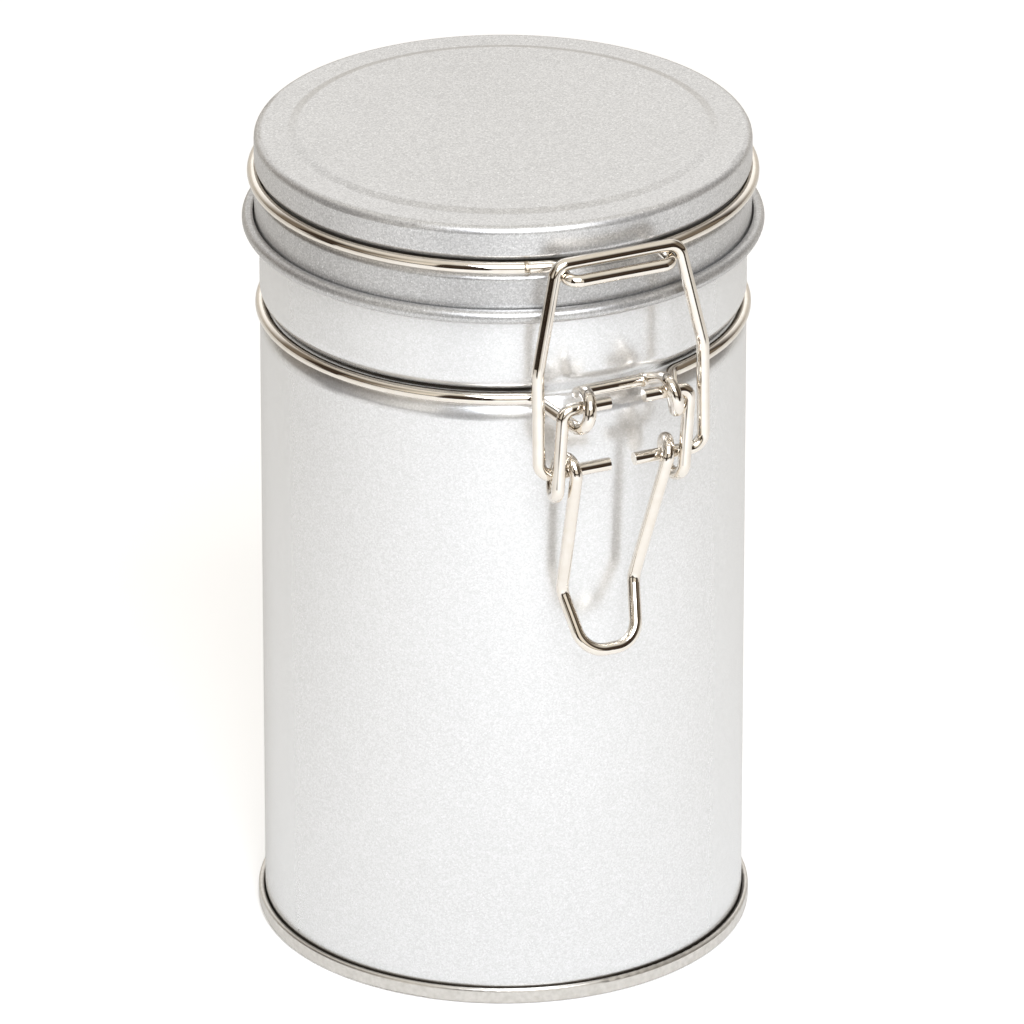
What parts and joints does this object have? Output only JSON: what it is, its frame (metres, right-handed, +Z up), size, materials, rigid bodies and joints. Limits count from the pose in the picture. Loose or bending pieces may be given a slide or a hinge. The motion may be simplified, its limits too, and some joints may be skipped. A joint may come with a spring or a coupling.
{
  "type": "clip-top tin",
  "caption": "Round tinplate canister with a hinged shell lid, sealing ring and wire toggle latch, for dry goods or keepsakes.",
  "frame": {"origin": "centre of the ring-shaped land of the base seam, in the plane that the tin stands on", "axes": "+Z up along the tin's axis; the latch is at the front on -Y, the hinge at the back on +Y, +X to the right seen from the front"},
  "size_m": [0.0814, 0.0972, 0.133],
  "materials": {
    "painted_wall": "silver metallic lacquer, satin, with a fine sparkle",
    "painted_lid": "silver metallic lacquer, satin, with a fine sparkle",
    "plain_tinplate": "clear-lacquered tinplate, satin",
    "plated_wire": "bright nickel plate on drawn wire",
    "soft_seal": "translucent white silicone, matt",
    "seam_sealant": "dried can-seaming compound, matt"
  },
  "bodies": {
    "tin": {"tin_wall": "painted_wall", "base_end": "plain_tinplate", "seam_compound": "seam_sealant", "neck_ring": "plated_wire"},
    "lid": {"lid_shell": "painted_lid", "lid_seal": "soft_seal", "lid_ring": "plated_wire"},
    "lever": {"lever": "plated_wire"},
    "latch_loop": {"latch_loop": "plated_wire"}
  },
  "joints": [
    {"name": "lid_hinge", "type": "hinge", "parent": "tin", "child": "lid", "pos_m": [0, 0.046, 0.1165], "axis": [-1, 0, 0], "range_deg": [0, 115]},
    {"name": "lever_pivot", "type": "hinge", "parent": "tin", "child": "lever", "pos_m": [0, -0.0447, 0.1049], "axis": [-1, 0, 0], "range_deg": [0, 150]},
    {"name": "loop_swing", "type": "hinge", "parent": "lever", "child": "latch_loop", "pos_m": [0, -0.043, 0.09375], "axis": [-1, 0, 0], "range_deg": [-210, 0]}
  ],
  "couplings": [
    {"joint": "loop_swing", "follows": "lever_pivot", "ratio": -1.4}
  ]
}
